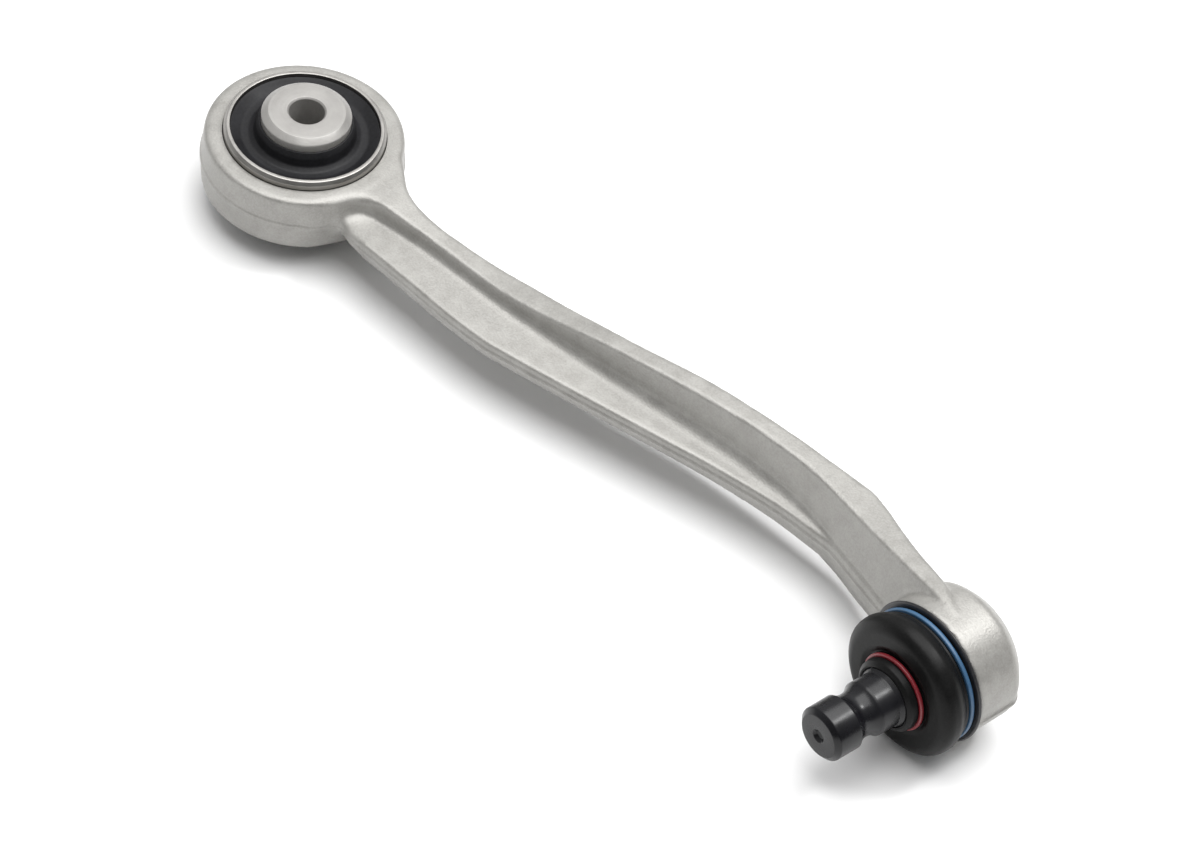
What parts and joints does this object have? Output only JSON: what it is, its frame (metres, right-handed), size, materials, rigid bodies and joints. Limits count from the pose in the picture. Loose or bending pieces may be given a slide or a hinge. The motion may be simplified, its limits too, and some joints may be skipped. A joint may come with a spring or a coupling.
{
  "type": "suspension control arm",
  "caption": "Forged control arm with a vertical rubber-metal bush at one end and a sideways ball joint with a grooved clamp pin at the other.",
  "frame": {"origin": "centre of the whole part's bounding box in X and Y, on the surface it lies on (Z = 0 is the lower face of the bush's core)", "axes": "+Z along the bush's bolt axis, +X along the arm from the bush to the ball joint, -Y the side that the ball joint's stud points to"},
  "size_m": [0.3031, 0.0821, 0.0422],
  "materials": {
    "forged_aluminium": "shot-blasted forging skin, satin, fine grain",
    "sleeve_steel": "dull plated steel with a machined rim",
    "core_steel": "satin plated steel",
    "bush_rubber": "black, semi-matt moulded rubber",
    "boot_rubber": "charcoal, satin moulded rubber",
    "stud_steel": "black phosphated and oiled steel, semi-gloss",
    "blue_ring": "blue satin coated clamping ring",
    "red_ring": "dark red satin clamping ring",
    "race_plastic": "natural acetal",
    "seat_plastic": "black satin",
    "plate_steel": "zinc-plated pressed steel"
  },
  "bodies": {
    "arm": {"control_arm": "forged_aluminium", "bush_outer_sleeve": "sleeve_steel", "bush_rubber": "bush_rubber", "closing_plate": "plate_steel", "boot_seat_ring": "seat_plastic", "boot_outer_ring": "blue_ring"},
    "bush_core": {"bush_inner_sleeve": "core_steel"},
    "ball_seat": {"ball_race": "race_plastic", "dust_boot": "boot_rubber"},
    "boot_neck": {"boot_inner_ring": "red_ring"},
    "stud": {"ball_stud": "stud_steel"}
  },
  "joints": [
    {"name": "bush_twist", "type": "hinge", "parent": "arm", "child": "bush_core", "pos_m": [-0.1217, 0.0112, 0.0182], "axis": [0, 0, 1], "range_deg": [-25, 25], "stiffness_Nm_per_rad": 60, "deforming": ["bush_rubber"]},
    {"name": "stud_azimuth", "type": "hinge", "parent": "arm", "child": "ball_seat", "pos_m": [0.1304, 0.0052, 0.02115], "axis": [-0.1323, -0.9912, 0], "continuous": true},
    {"name": "stud_tilt", "type": "hinge", "parent": "ball_seat", "child": "boot_neck", "pos_m": [0.1304, 0.0052, 0.02115], "axis": [0, 0, 1], "range_deg": [-22, 22], "deforming": ["dust_boot"]},
    {"name": "stud_spin", "type": "hinge", "parent": "boot_neck", "child": "stud", "pos_m": [0.1304, 0.0052, 0.02115], "axis": [-0.1323, -0.9912, 0], "continuous": true}
  ]
}
